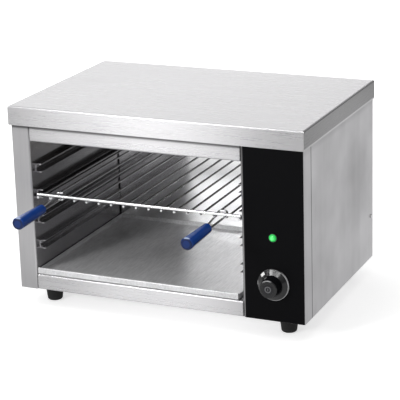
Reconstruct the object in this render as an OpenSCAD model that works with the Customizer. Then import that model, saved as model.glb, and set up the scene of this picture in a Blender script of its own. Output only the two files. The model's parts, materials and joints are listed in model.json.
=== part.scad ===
// Electric cheese melter: an open-fronted counter-top grill in folded stainless sheet.
// A wire rack with two handles slides in channel runners under a pair of heating elements,
// above a crumb tray. The controls stand in a compartment on the right.
//
// Millimetres. +X points to the right, +Y to the back and +Z up. The origin lies on the
// surface that the feet stand on, under the middle of the whole outline, handles included.

/* [Cabinet] */
// Overall width, across the lid
cabinet_w = 580; // [520:1:700]
// Overall depth of the cabinet, across the lid
cabinet_d = 390; // [370:1:460]
// Overall height, from the standing surface to the lid
cabinet_h = 390; // [385:1:460]
// Height of the lid's skirt
lid_h = 36; // [26:1:48]
// How far the lid stands past each side panel
lid_over_side = 2.5; // [2.3:0.1:6]
// How far the lid stands past the front
lid_over_front = 5; // [3.5:0.5:10]
// Height of the folded hem inside the lid's lower edge
hem_h = 9; // [5:1:14]
// Thickness of every sheet
sheet = 1; // [0.8:0.1:1.1]
// Outer radius of the sheet bends
bend_r = 3; // [2:0.25:3.5]
// Width of the flanges that join the panels
flange_w = 12; // [10:1:16]

/* [Front] */
// Width of the left front post
post_w = 36.5; // [32:0.5:60]
// Width of the control panel
panel_w = 116.5; // [104:0.5:140]
// Depth of the inward returns beside the opening
return_d = 15; // [10:1:20]
// Height of the fascia between the lid and the opening
fascia_h = 30; // [20:1:36]
// Height of the rail under the crumb tray
rail_h = 30; // [24:1:36]
// Depth of the control panel's wrap round the right-hand corner
wrap_d = 37; // [28:1:60]
// Width of the shadow joint behind the wrap
joint_w = 1; // [0.6:0.2:2]
// Steel edge left bare beside the black overlay
overlay_edge = 4; // [3:0.5:8]
// Thickness of the black overlay
overlay_t = 1; // [0.6:0.1:2]

/* [Cavity] */
// Air space between the back of the cavity and the rear panel
rear_space = 30; // [24:1:44]
// Rise of the reflector above the opening's upper edge
reflector_rise = 6; // [4:1:12]
// Number of runners on each side
runner_count = 4; // [3:1:5]
// Distance from one runner to the next
runner_pitch = 50; // [34:1:50]
// Height of the lowest runner's middle above the rail
runner_first = 55; // [40:1:55]
// Height of one channel runner
runner_h = 16; // [15:1:18]
// How far a runner stands into the cavity
runner_out = 12; // [11:0.5:15]
// Outer radius of a runner's two bends
runner_r = 2.5; // [2:0.25:3]
// Distance from the cabinet's front to the front end of the runners
runner_front = 16; // [14:1:60]
// Distance from the runners' back end to the back of the cavity
runner_back = 1; // [0.5:0.5:30]
// Gap between each side wall and the edge of the back wall
corner_gap = 2.5; // [1:0.5:4]

/* [Wire rack] */
// Runner that the rack rests on, counted from the bottom
rack_level = 3; // [1:1:3]
// Diameter of the rack's front and rear rods
rod_d = 6; // [5:0.5:6.5]
// Diameter of the side rods that lie in the runners
side_rod_d = 5; // [4:0.5:5]
// Diameter of the rack's inner wires
wire_d = 4; // [3:0.5:4.5]
// Number of inner wires
wire_count = 15; // [13:2:17]
// Clearance between the rack and each side wall
rack_side_gap = 5; // [3:0.5:6]
// Distance from the cabinet's front to the rack's front rod
rack_front = 7; // [4:1:20]
// Clearance between the rack and the back wall
rack_back_gap = 7; // [4:1:30]
// Clearance under a part that slides
slide_gap = 0.3; // [0.2:0.05:0.5]
// Depth by which crossing wires melt into each other at a weld
weld_sink = 0.3; // [0.2:0.05:0.5]

/* [Handles] */
// Bay between two inner wires that a handle stands in, counted from the middle
handle_bay = 6; // [4:1:6]
// Diameter of the handle wire
leg_d = 4; // [3.5:0.25:5]
// Distance between a handle's two legs at the rack's front rod
leg_spread = 17; // [14:0.5:17]
// Distance between the legs inside the grip
leg_spread_grip = 9.5; // [8:0.5:10]
// Angle at which the closed loop rises behind the front rod
loop_rise = 25; // [10:1:30]
// Length of the loop's legs behind the front rod
loop_leg = 10; // [6:1:16]
// Corner radius of the closed loop, at the wire's middle
loop_r = 4.5; // [3:0.5:6]
// Distance from the cabinet's front to the grip's inner end
grip_stand_off = 46; // [40:1:80]
// Length of a grip
grip_length = 90; // [70:1:120]
// Diameter of a grip at its outer end
grip_outer_d = 23; // [20:0.5:28]
// Diameter of a grip at its inner end
grip_inner_d = 19; // [17:0.5:20]
// Depth of the grip's axis under the middle of the front rod
grip_drop = 8; // [6:0.5:12]

/* [Crumb tray] */
// Gap between the tray and the cavity's left wall
tray_left_gap = 2; // [0.6:0.2:4]
// Gap between the tray and the cavity's right wall
tray_right_gap = 10; // [1:0.5:14]
// Dark gap between the rail and the tray
tray_rise = 1; // [0.8:0.1:2]
// Height of the tray's front lip
tray_lip_h = 12; // [10:0.5:18]
// Height of the tray's side and back walls
tray_wall_h = 9; // [6:0.5:10]
// Distance from the tray's back to the back of the cavity
tray_back_gap = 1; // [1:1:20]

/* [Heating] */
// Diameter of the heating tube
tube_d = 8; // [6.5:0.5:8.5]
// Distance from the reflector down to the middle of the tubes
tube_drop = 18; // [12:1:22]
// Number of passes that one element makes; an even number brings both ends to one side
passes = 4; // [2:2:4]
// Distance from one pass to the next
pass_pitch = 36; // [30:1:38]
// Distance between the last pass of the front element and the first of the rear one
element_gap = 36; // [24:1:44]
// Distance from the side walls to the outer bends
bend_clear = 25; // [15:1:40]
// Length of the element's cold end inside the control compartment
cold_end = 26; // [20:1:34]
// Thickness of the insulation above the reflector
insulation_t = 22; // [10:1:26]
// Diameter of the thermostat's sensing bulb
bulb_d = 6; // [5:0.5:6]
// Length of the sensing bulb
bulb_length = 90; // [70:1:120]

/* [Controls] */
// Height of the knob's axis above the standing surface
knob_z = 104; // [90:1:140]
// Diameter of the knob's skirt
skirt_d = 59; // [50:1:64]
// Diameter of the grip part where it leaves the skirt
knob_base_d = 40; // [34:0.5:44]
// Diameter of the knob's face
knob_face_d = 33; // [28:0.5:34]
// Distance from the overlay to the knob's face
knob_length = 28; // [24:0.5:34]
// Gap between the overlay and the knob's skirt
knob_gap = 0.8; // [0.5:0.1:2]
// Angle of the pointer at rest, counted anticlockwise from the right
pointer_angle = 135; // [90:5:225]
// Diameter of the thermostat's shaft
shaft_d = 6; // [5:0.5:6]
// Height of the pilot lamp
lamp_z = 191; // [170:1:240]
// Diameter of the pilot lamp's lens
lens_d = 14; // [10:0.5:18]
// Diameter of the mains cable that the gland takes
cable_d = 8.2; // [6:0.1:9]
// Height of the cable gland above the standing surface
gland_z = 78; // [66:1:110]

/* [Feet] */
// Height of a foot
foot_h = 34; // [24:1:40]
// Diameter of a foot under the cabinet
foot_top_d = 36; // [30:1:44]
// Diameter of a foot near the standing surface
foot_bottom_d = 29; // [24:1:30]
// Radius of a foot's lower edge
foot_edge_r = 4; // [2:0.5:5]
// Distance from the lid's outline to the middle of a foot
foot_inset = 50; // [40:1:80]

/* [Hidden] */
$fn = 48;
cut = 1; // how far a cutting tool runs past the face it cuts
fit_gap = 0.05; // radial clearance of a running or push fit
hole_gap = 0.2; // radial clearance of a screw or tube in its hole

// Planes of the cabinet, seen from the front
side_x = cabinet_w / 2 - lid_over_side; // outer face of the side panels
front_y = -cabinet_d / 2 + lid_over_front; // outer face of the front
rear_y = cabinet_d / 2 - sheet; // outer face of the rear panel
top_z = cabinet_h - sheet; // underside of the lid's top
wall_top = top_z - sheet / 2; // upper edge of the side walls, clear of the lid's bends
lid_z = cabinet_h - lid_h; // lower edge of the lid
open_left = -side_x + post_w; // edge of the post
open_right = side_x - panel_w; // edge of the control panel
rail_z = foot_h + rail_h; // upper edge of the rail
fascia_z = lid_z - fascia_h; // upper edge of the opening

// Planes of the cavity
wall_left = open_left + sheet; // inner face of the left liner
wall_right = open_right - sheet; // inner face of the right liner
cavity_mid = (wall_left + wall_right) / 2;
liner_front = front_y + 2 * sheet;
wall_back = rear_y - sheet - rear_space - sheet; // inner face of the back liner
floor_z = foot_h + sheet; // upper face of the base plate
reflector_z = fascia_z + reflector_rise; // lower face of the reflector
fascia_back = front_y + return_d + 8; // back edge of the fascia's lower return
rail_lip_back = front_y + return_d + 3; // back edge of the lip on top of the rail

// Runners and rack
function runner_z(level) = rail_z + runner_first + (level - 1) * runner_pitch;
runner_start = front_y + runner_front;
runner_end = wall_back - runner_back;
side_rod_z = runner_z(rack_level) - runner_h / 2 + sheet + slide_gap + side_rod_d / 2;
side_rod_x = (wall_right - wall_left) / 2 - rack_side_gap - side_rod_d / 2; // from the rack's middle
rod_z = side_rod_z + side_rod_d / 2 + rod_d / 2 - weld_sink;
rod_front = front_y + rack_front + rod_d / 2;
rod_back = wall_back - rack_back_gap - rod_d / 2;
wire_pitch = 2 * side_rod_x / (wire_count + 1);
wire_z = rod_z - rod_d / 2 - wire_d / 2 + weld_sink;

// Handles
handle_x = (handle_bay + 0.5) * wire_pitch;
leg_z = rod_z - rod_d / 2 - leg_d / 2;
loop_y = rod_front + rod_d / 2;
grip_z = rod_z - grip_drop;
grip_back = front_y - grip_stand_off;
grip_front = grip_back - grip_length;
leg_depth = 70; // how far the legs run into the grip

// Crumb tray
tray_z = rail_z + tray_rise;
tray_left = wall_left + tray_left_gap;
tray_right = wall_right - tray_right_gap;
tray_back = wall_back - tray_back_gap;

// Heating elements
tube_z = reflector_z - tube_drop;
element_span = (passes - 1) * pass_pitch;
cavity_mid_y = (front_y + wall_back) / 2;
front_element_y = cavity_mid_y + 16 - element_gap / 2 - element_span;
rear_element_y = front_element_y + element_span + element_gap;
element_ends = [
    front_element_y, front_element_y + element_span,
    rear_element_y, rear_element_y + element_span
];
tube_left = wall_left + bend_clear + pass_pitch / 2;
tube_right = wall_right - bend_clear - pass_pitch / 2;
cold_x = wall_right + sheet + cold_end;
bush_d = 12;
bush_flange_d = 18;
bush_flange_t = 3;
bead_length = 8;
bead_d = 7;
tip_length = 12;
tip_d = 4;
hanger_t = 1.5;
hanger_foot = 14;
hanger_lap = 3;
hanger_end = 7; // from the outer passes to the ends of the hangers
hanger_x = [wall_left + 75, wall_right - 75];

// Controls
panel_mid = (open_right + side_x) / 2;
overlay_y = front_y - overlay_t; // outer face of the overlay
knob_y = overlay_y - knob_gap;
skirt_rim = 3;
skirt_cone_h = 5;
knob_wall = 2.5;
knob_edge_r = 2;
hub_d = 13;
cap_d = 20;
cap_t = 1.6;
pointer_length = 6.5;
pointer_w = 4;
pointer_t = 0.8;
shaft_socket = knob_length - knob_gap - 5;
bush_thread_d = 10;
bush_reach = 1.5; // how far the thermostat's bush stands past the overlay
thermostat_size = [44, 34, 40];
thermostat_plate = 2;
thermostat_screw_x = 14;
screw_d = 4;
screw_head_d = 7.6;
screw_head_h = 2.2;
lamp_barrel_d = 10;
lamp_barrel_length = 28;
lamp_bezel_t = 1.5;
lamp_seat_t = 0.5; // the bezel's bottom, under the lens
lamp_bezel_w = 1.2;
lamp_dome_h = 4;
lamp_nut_t = 4;
lamp_nut_d = 16;

// Sensing bulb, near the ceiling behind the elements
bulb_inset = 40; // distance from the right wall to the bulb
bulb_y = wall_back - 12;
bulb_z = reflector_z - 14;
bulb_right = wall_right - bulb_inset;
clip_t = 1;
clip_w = 7;
capillary_d = 1.6;

// Rear of the cabinet
gland_thread_d = 16;
gland_flange_d = 26;
gland_flange_t = 6;
gland_out = 21; // how far the gland stands out of the rear panel
gland_dome_d = 22;
gland_dome_r = 5;
gland_nut_t = 5;
gland_inside = 12;
rear_wrap = 20; // depth of the rear panel's side flanges
side_screw_y = rear_y - 13;
side_screw_z = foot_h + 86;
base_screw_x = 150;
base_screw_z = foot_h + flange_w - 4;
lid_screw_x = cabinet_w / 2 - 50;
lid_screw_z = lid_z + lid_h / 2;
slot_w = 60;
slot_h = 4;
slot_pitch = 12;
slot_count = 7;
slot_first = fascia_z - 88;
bond_offset = [-40, -14]; // from the cable gland's axis
bond_x = panel_mid + bond_offset[0];
bond_z = gland_z + bond_offset[1];
bond_d = 5;
bond_length = 26;
bond_washer_d = 11;
bond_washer_t = 1.2;
bond_nut_d = 9;
bond_nut_t = 4;

// Compartment behind the control panel
shield_x = open_right + flange_w + 4;
shield_rise = 220;
shield_top = foot_h + shield_rise;
shield_back_gap = 20;
block_inset = 110; // distance from the rear panel to the terminal block
block_size = [54, 22, 20];
block_at = [panel_mid, rear_y - block_inset, floor_z];
pole_count = 3;
pole_pitch = 16;
clamp_d = 7;
lead_d = 2.6;

// Feet
foot_x = cabinet_w / 2 - foot_inset;
foot_y = cabinet_d / 2 - foot_inset;
foot_at = [[-foot_x, -foot_y], [foot_x, -foot_y], [-foot_x, foot_y], [foot_x, foot_y]];
stud_d = 6;
stud_depth = 18;
stud_top = 8;
nut_d = 11;
nut_t = 5;

// The whole outline runs from the grips' ends to the cable gland's dome
gland_back = rear_y + gland_out;
origin_y = -(grip_front + gland_back) / 2;

// Colours
steel = [0.80, 0.81, 0.82];
dark_steel = [0.55, 0.56, 0.58];
chrome = [0.88, 0.88, 0.9];
black = [0.07, 0.07, 0.075];
blue = [0.10, 0.22, 0.55];
green = [0.1, 0.85, 0.3];
ceramic = [0.93, 0.91, 0.85];
brass = [0.75, 0.6, 0.25];
white = [0.95, 0.95, 0.95];

// ---------------------------------------------------------------- helpers

// Everything is drawn about the middle of the cabinet, and then moved to the origin
module placed(colour) {
    color(colour) translate([0, origin_y, 0]) children();
}

// Block between two corners
module slab(low, high) {
    translate(low) cube(high - low);
}

// Sheet outline drawn in plan and raised from z0 to z1
module upright(z0, z1) {
    translate([0, 0, z0]) linear_extrude(z1 - z0) children();
}

// Outline drawn in Y and Z, and run from x0 to x1
module across(x0, x1) {
    translate([x0, 0, 0]) rotate([90, 0, 90]) linear_extrude(x1 - x0) children();
}

// Outline drawn in X and Z, and run from y0 to y1
module inward(y0, y1) {
    translate([0, y1, 0]) rotate([90, 0, 0]) linear_extrude(y1 - y0) children();
}

// Round bar along Y, from y0 to y1
module bar_y(x, z, y0, y1, d) {
    translate([x, y0, z]) rotate([-90, 0, 0]) cylinder(h = y1 - y0, d = d);
}

// Round bar along X, from x0 to x1
module bar_x(y, z, x0, x1, d) {
    translate([x0, y, z]) rotate([0, 90, 0]) cylinder(h = x1 - x0, d = d);
}

// Shape drawn along +Z with its foot at z = 0, turned to stand out of the front at y
module out_of_front(x, y, z) {
    translate([x, y, z]) rotate([90, 0, 0]) children();
}

// Shape drawn along +Z, turned to stand out of the back at y
module out_of_back(x, y, z) {
    translate([x, y, z]) rotate([-90, 0, 0]) children();
}

// Slot with round ends, w long and h high, about its middle
module slot_outline(w, h) {
    square([w - h, h], center = true);
    for (side = [-1, 1])
        translate([side * (w - h) / 2, 0]) circle(d = h);
}

function unit(a, b) = (b - a) / norm(b - a);

// Folded sheet seen on its edge: path is the middle line, and every corner is a square bend
module fold(path, r = bend_r) {
    mid_r = r - sheet / 2;
    last = len(path) - 1;
    for (i = [0:last - 1]) {
        along = unit(path[i], path[i + 1]);
        half = [-along[1], along[0]] * sheet / 2;
        a = path[i] + along * (i > 0 ? mid_r : 0);
        b = path[i + 1] - along * (i < last - 1 ? mid_r : 0);
        polygon([a + half, b + half, b - half, a - half]);
    }
    if (last > 1)
        for (i = [1:last - 1]) {
            come = unit(path[i - 1], path[i]);
            go = unit(path[i], path[i + 1]);
            centre = path[i] - come * mid_r + go * mid_r;
            intersection() {
                translate(centre) difference() {
                    circle(r = r);
                    circle(r = r - sheet);
                }
                polygon([centre, centre + come * r, centre + (come - go) * r, centre - go * r]);
            }
        }
}

// Straight round bar between two points
module link(a, b, d) {
    v = b - a;
    translate(a)
        rotate([0, acos(v[2] / norm(v)), atan2(v[1], v[0])])
            cylinder(h = norm(v), d = d);
}

// Wire through a list of points, with a ball at each corner
module wire_path(points, d) {
    last = len(points) - 1;
    for (i = [0:last - 1])
        link(points[i], points[i + 1], d);
    if (last > 1)
        for (i = [1:last - 1])
            translate(points[i]) sphere(d = d * 1.02);
}

// Pan-head screw along +Z: its head stands on z = 0 and its shank reaches down
module pan_screw(shank) {
    rotate_extrude() {
        square([screw_head_d / 2 - 1, screw_head_h]);
        square([screw_head_d / 2, screw_head_h - 1]);
        translate([screw_head_d / 2 - 1, screw_head_h - 1])
            intersection() {
                circle(r = 1);
                square(1);
            }
    }
    translate([0, 0, -shank]) cylinder(h = shank + screw_head_h / 2, d = screw_d);
}

// Hexagonal nut with a round bore, standing on z = 0
module hex_nut(across_flats, t, bore) {
    difference() {
        cylinder(h = t, d = across_flats / cos(30), $fn = 6);
        translate([0, 0, -cut]) cylinder(h = t + 2 * cut, d = bore);
    }
}

// Both sides of the cavity are drawn as the left one
module right_hand() {
    translate([2 * cavity_mid, 0, 0]) mirror([1, 0, 0]) children();
}

// ---------------------------------------------------------------- housing

// Solid block with the four upper edges rounded
module lid_block(w, d, h, r) {
    intersection() {
        translate([0, d / 2, 0]) rotate([90, 0, 0]) linear_extrude(d) lid_section(w, h, r);
        translate([-w / 2, 0, 0]) rotate([90, 0, 90]) linear_extrude(w) lid_section(d, h, r);
    }
}

module lid_section(w, h, r) {
    translate([-w / 2, 0]) square([w, h - r]);
    translate([-w / 2 + r, 0]) square([w - 2 * r, h]);
    for (side = [-1, 1])
        translate([side * (w / 2 - r), h - r]) circle(r = r);
}

module lid() {
    inner_w = cabinet_w - 2 * sheet;
    inner_d = cabinet_d - 2 * sheet;
    placed(steel) {
        difference() {
            translate([0, 0, lid_z]) lid_block(cabinet_w, cabinet_d, lid_h, bend_r);
            translate([0, 0, lid_z - cut])
                lid_block(inner_w, inner_d, lid_h - sheet + cut, bend_r - sheet);
            // screw holes through the rear skirt
            for (x = [-lid_screw_x, 0, lid_screw_x])
                bar_y(x, lid_screw_z, rear_y - cut, rear_y + sheet + cut, screw_d + 2 * hole_gap);
        }
        // hem folded up inside the front and side skirts
        slab([-inner_w / 2, -inner_d / 2 - sheet / 2, lid_z],
             [inner_w / 2, -inner_d / 2 + sheet, lid_z + hem_h]);
        for (side = [0, 1])
            mirror([side, 0, 0])
                slab([inner_w / 2 - sheet, -inner_d / 2, lid_z],
                     [inner_w / 2 + sheet / 2, rear_y, lid_z + hem_h]);
    }
}

// Holes for the two screws that hold the rear panel's flanges from the sides
module side_screw_holes() {
    for (side = [0, 1])
        mirror([side, 0, 0])
            bar_x(side_screw_y, side_screw_z, side_x - 3 * sheet, side_x + cut,
                  screw_d + 2 * hole_gap);
}

module left_side_panel() {
    mid = sheet / 2;
    placed(steel) difference() {
        union() {
            upright(foot_h, wall_top) fold([
                [open_left - mid, front_y + return_d],
                [open_left - mid, front_y + mid],
                [-side_x + mid, front_y + mid],
                [-side_x + mid, rear_y - sheet]
            ]);
            // flange under the lid
            slab([-side_x + mid, front_y + bend_r, top_z - sheet],
                 [-side_x + sheet + flange_w, rear_y - sheet - bend_r, top_z]);
        }
        side_screw_holes();
    }
}

module right_side_panel() {
    mid = sheet / 2;
    start_y = front_y + wrap_d + joint_w;
    placed(steel) difference() {
        union() {
            slab([side_x - sheet, start_y, foot_h], [side_x, rear_y - sheet, wall_top]);
            // joggled edge that lies behind the control panel's wrap
            slab([side_x - 2 * sheet, start_y - joint_w - flange_w, floor_z + flange_w],
                 [side_x - sheet, start_y + sheet, top_z - 2 * sheet]);
            slab([side_x - 2 * sheet, start_y, floor_z + flange_w],
                 [side_x - sheet / 2, start_y + sheet, top_z - 2 * sheet]);
            // flange under the lid
            slab([side_x - sheet - flange_w, start_y + sheet, top_z - sheet],
                 [side_x - mid, rear_y - sheet - bend_r, top_z]);
        }
        side_screw_holes();
    }
}

// Shallow tray whose side flanges lie inside the side panels
module rear_panel() {
    mid = sheet / 2;
    reach = side_x - sheet - mid;
    placed(steel) difference() {
        union() {
            upright(floor_z, top_z - bend_r) fold([
                [-reach, rear_y - rear_wrap],
                [-reach, rear_y - mid],
                [reach, rear_y - mid],
                [reach, rear_y - rear_wrap]
            ]);
            // lower edge, behind the floor
            slab([-reach + bend_r, rear_y - sheet, foot_h], [reach - bend_r, rear_y, floor_z + sheet]);
        }
        side_screw_holes();
        for (x = [-lid_screw_x, 0, lid_screw_x])
            bar_y(x, lid_screw_z, rear_y - 2 * sheet, rear_y + cut, screw_d + 2 * hole_gap);
        for (x = [-base_screw_x, base_screw_x])
            bar_y(x, base_screw_z, rear_y - 2 * sheet, rear_y + cut, screw_d + 2 * hole_gap);
        // ventilation slots
        for (x = [-panel_mid + 20, panel_mid - 20])
            for (i = [0:slot_count - 1])
                inward(rear_y - 2 * sheet, rear_y + cut)
                    translate([x, slot_first + i * slot_pitch]) slot_outline(slot_w, slot_h);
        bar_y(panel_mid, gland_z, rear_y - 2 * sheet, rear_y + cut, gland_thread_d + 2 * hole_gap);
        bar_y(bond_x, bond_z, rear_y - 2 * sheet, rear_y + cut, bond_d + 2 * hole_gap);
    }
}

module base_plate() {
    mid = sheet / 2;
    inner = side_x - sheet;
    placed(steel) difference() {
        union() {
            // floor with the rail folded up at the front and a lip turned back over it
            across(wall_left, wall_right) fold([
                [front_y + return_d * 2, foot_h + mid],
                [front_y + mid, foot_h + mid],
                [front_y + mid, rail_z - mid],
                [rail_lip_back, rail_z - mid]
            ]);
            slab([wall_left, front_y + bend_r, foot_h], [wall_right, rear_y - sheet, floor_z]);
            slab([-inner, front_y + return_d, foot_h], [inner, rear_y - sheet, floor_z]);
            slab([-inner, front_y + bend_r, foot_h],
                 [open_left - sheet, front_y + return_d + sheet, floor_z]);
            slab([open_right + sheet, front_y + bend_r, foot_h],
                 [inner, front_y + return_d + sheet, floor_z]);
            // side and rear flanges
            for (side = [0, 1])
                mirror([side, 0, 0])
                    slab([inner - sheet, front_y + return_d, foot_h],
                         [inner, rear_y - rear_wrap - sheet, floor_z + flange_w - sheet]);
            slab([-inner + 2 * flange_w, rear_y - 2 * sheet, foot_h],
                 [inner - 2 * flange_w, rear_y - sheet, floor_z + flange_w]);
        }
        for (at = foot_at)
            translate([at[0], at[1], foot_h - cut])
                cylinder(h = sheet + 2 * cut, d = stud_d + 2 * hole_gap);
        for (x = [-base_screw_x, base_screw_x])
            bar_y(x, base_screw_z, rear_y - 3 * sheet, rear_y, screw_d + 2 * hole_gap);
        // ventilation slots under the control compartment
        for (i = [-2:2])
            translate([panel_mid, i * slot_pitch, foot_h - cut])
                linear_extrude(sheet + 2 * cut) slot_outline(slot_w, slot_h);
    }
}

module front_fascia() {
    mid = sheet / 2;
    placed(steel) {
        across(wall_left, wall_right) fold([
            [fascia_back, reflector_z],
            [fascia_back, fascia_z + mid],
            [front_y + mid, fascia_z + mid],
            [front_y + mid, top_z - mid],
            [front_y + flange_w, top_z - mid]
        ]);
        // tabs turned back against the liners
        for (x = [wall_left, wall_right - sheet])
            slab([x, front_y + sheet / 2, reflector_z + 2],
                 [x + sheet, front_y + return_d, top_z - bend_r - sheet]);
    }
}

module control_panel() {
    mid = sheet / 2;
    placed(steel) difference() {
        union() {
            upright(foot_h, wall_top) fold([
                [open_right + mid, front_y + return_d],
                [open_right + mid, front_y + mid],
                [side_x - mid, front_y + mid],
                [side_x - mid, front_y + wrap_d]
            ]);
            // flange under the lid
            slab([open_right + bend_r, front_y + mid, top_z - sheet],
                 [side_x - bend_r, front_y + flange_w, top_z]);
        }
        bar_y(panel_mid, knob_z, front_y - cut, front_y + 2 * sheet, bush_thread_d + 2 * hole_gap);
        bar_y(panel_mid, lamp_z, front_y - cut, front_y + 2 * sheet, lamp_barrel_d + 2 * hole_gap);
        for (side = [-1, 1])
            bar_y(panel_mid + side * thermostat_screw_x, knob_z, front_y - cut, front_y + 2 * sheet,
                  screw_d + 2 * hole_gap);
    }
}

module control_overlay() {
    placed(black) difference() {
        slab([open_right + overlay_edge, overlay_y, foot_h + sheet / 2],
             [side_x - sheet / 2, front_y, lid_z - sheet / 2]);
        // one round hole clears the bush and the heads of the two screws beside it
        bar_y(panel_mid, knob_z, overlay_y - cut, front_y + cut,
              2 * thermostat_screw_x + screw_head_d + 2);
        bar_y(panel_mid, lamp_z, overlay_y - cut, front_y + cut, lamp_barrel_d + 2 * hole_gap);
    }
}

// ---------------------------------------------------------------- cavity

// Side walls run past the edges of the back wall
module side_liner() {
    slab([wall_left - sheet, liner_front, floor_z],
         [wall_left, wall_back + 2 * corner_gap, top_z - sheet]);
    slab([wall_left - sheet - flange_w, front_y + return_d + 2, floor_z],
         [wall_left - sheet / 2, wall_back, floor_z + sheet]);
}

module liner_left() {
    placed(dark_steel) side_liner();
}

module liner_right() {
    placed(dark_steel) difference() {
        right_hand() side_liner();
        for (y = element_ends)
            bar_x(y, tube_z, wall_right - cut, wall_right + sheet + cut, bush_d + 2 * hole_gap);
        bar_x(bulb_y, bulb_z, wall_right - cut, wall_right + sheet + cut, 4);
    }
}

module liner_back() {
    placed(dark_steel) {
        slab([wall_left + corner_gap, wall_back, floor_z],
             [wall_right - corner_gap, wall_back + sheet, top_z - sheet]);
        slab([wall_left + corner_gap, wall_back + sheet / 2, floor_z],
             [wall_right - corner_gap, wall_back + sheet + flange_w, floor_z + sheet]);
    }
}

// Channels whose open side faces the cavity, welded to the left wall
module runners() {
    mid = sheet / 2;
    edge_z = runner_h / 2 - mid;
    for (level = [1:runner_count])
        inward(runner_start, runner_end) translate([wall_left, runner_z(level)]) fold([
            [runner_out, edge_z], [mid, edge_z], [mid, -edge_z], [runner_out, -edge_z]
        ], runner_r);
}

module runners_left() {
    placed(dark_steel) runners();
}

module runners_right() {
    placed(dark_steel) right_hand() runners();
}

module reflector() {
    start_y = fascia_back - sheet / 2;
    placed(dark_steel) {
        slab([wall_left, start_y, reflector_z], [wall_right, wall_back, reflector_z + sheet]);
        for (x = [wall_left, wall_right - sheet])
            slab([x, start_y, reflector_z + sheet / 2],
                 [x + sheet, wall_back, reflector_z + sheet + flange_w]);
    }
}

module tray_shelf() {
    start_y = rail_lip_back + 0.5;
    glide_t = tray_rise - slide_gap;
    glide_w = 12;
    glide_inset = 50;
    glide_margin = 12;
    placed(dark_steel) {
        slab([wall_left, start_y, rail_z - sheet], [wall_right, wall_back, rail_z]);
        for (x = [wall_left, wall_right - sheet])
            slab([x, start_y, rail_z - flange_w], [x + sheet, wall_back, rail_z - sheet / 2]);
        // raised glides that the tray slides on
        for (x = [tray_left + glide_inset, tray_right - glide_inset])
            slab([x - glide_w / 2, start_y + glide_margin, rail_z - sheet / 2],
                 [x + glide_w / 2, tray_back - glide_margin, rail_z + glide_t]);
    }
}

module top_insulation() {
    placed(ceramic)
        slab([wall_left + sheet, fascia_back + 4, reflector_z + sheet],
             [wall_right - sheet, wall_back, reflector_z + sheet + insulation_t]);
}

module heat_shield() {
    mid = sheet / 2;
    start_y = front_y + return_d + 6;
    end_y = wall_back - shield_back_gap;
    placed(dark_steel) {
        inward(start_y, end_y) fold([
            [shield_x + flange_w, floor_z + mid],
            [shield_x, floor_z + mid],
            [shield_x, shield_top]
        ]);
        // stiffening lip along the upper edge
        slab([shield_x - mid, start_y, shield_top - sheet],
             [shield_x + flange_w - sheet, end_y, shield_top]);
    }
}

// ---------------------------------------------------------------- heating

// Tube bent to and fro in one level plane, both of its ends out to the right
module element(first_y) {
    placed(dark_steel) {
        for (i = [0:passes - 1]) {
            outer = i == 0 || i == passes - 1;
            bar_x(first_y + i * pass_pitch, tube_z, tube_left, outer ? cold_x : tube_right, tube_d);
        }
        for (i = [0:passes - 2]) {
            left = i % 2 == 0;
            translate([left ? tube_left : tube_right, first_y + (i + 0.5) * pass_pitch, tube_z])
                rotate([0, 0, left ? 90 : -90])
                    rotate_extrude(angle = 180) translate([pass_pitch / 2, 0]) circle(d = tube_d);
        }
    }
}

module heating_element_front() {
    element(front_element_y);
}

module heating_element_rear() {
    element(rear_element_y);
}

// Two strips under the reflector that carry every pass of both elements
module element_hangers() {
    first = front_element_y - hanger_end;
    last = rear_element_y + element_span + hanger_end;
    bottom = tube_z - tube_d / 2 - hanger_lap;
    placed(steel) for (x = hanger_x)
        difference() {
            union() {
                slab([x, first, bottom], [x + hanger_t, last, reflector_z]);
                slab([x, first, reflector_z - hanger_t], [x + hanger_foot, last, reflector_z]);
            }
            for (first_y = [front_element_y, rear_element_y])
                for (i = [0:passes - 1])
                    bar_x(first_y + i * pass_pitch, tube_z, x - cut, x + hanger_t + cut,
                          tube_d + 2 * fit_gap);
        }
}

// Threaded bushes that hold the cold ends in the right liner
module element_bushes() {
    face = wall_right + sheet;
    placed(brass) for (y = element_ends)
        difference() {
            union() {
                bar_x(y, tube_z, wall_right - 4, face + 4, bush_d);
                bar_x(y, tube_z, face, face + bush_flange_t, bush_flange_d);
            }
            bar_x(y, tube_z, wall_right - 6, face + 6, tube_d + 2 * fit_gap);
        }
}

module terminal_insulators() {
    placed(ceramic) for (y = element_ends)
        translate([cold_x, y, tube_z]) rotate([0, 90, 0]) difference() {
            cylinder(h = bead_length, d1 = bead_d, d2 = bead_d - 1.5);
            translate([0, 0, -cut]) cylinder(h = bead_length + 2 * cut, d = tip_d + 2 * fit_gap);
        }
}

module terminal_studs() {
    placed(steel) for (y = element_ends)
        bar_x(y, tube_z, cold_x, cold_x + bead_length + tip_length, tip_d);
}

// ---------------------------------------------------------------- rack and handles

// Front and rear rods laid across two side rods, with the inner wires welded under them
module wire_rack() {
    reach = side_rod_x + side_rod_d / 2;
    wire_start = rod_front - rod_d / 2 - 1;
    wire_end = rod_back + rod_d / 2 + 1;
    placed(chrome) translate([cavity_mid, 0, 0]) {
        for (y = [rod_front, rod_back])
            bar_x(y, rod_z, -reach, reach, rod_d);
        for (x = [-side_rod_x, side_rod_x])
            bar_y(x, side_rod_z, wire_start, wire_end, side_rod_d);
        for (i = [1:wire_count])
            bar_y(-side_rod_x + i * wire_pitch, wire_z, wire_start, wire_end, wire_d);
    }
}

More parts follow.
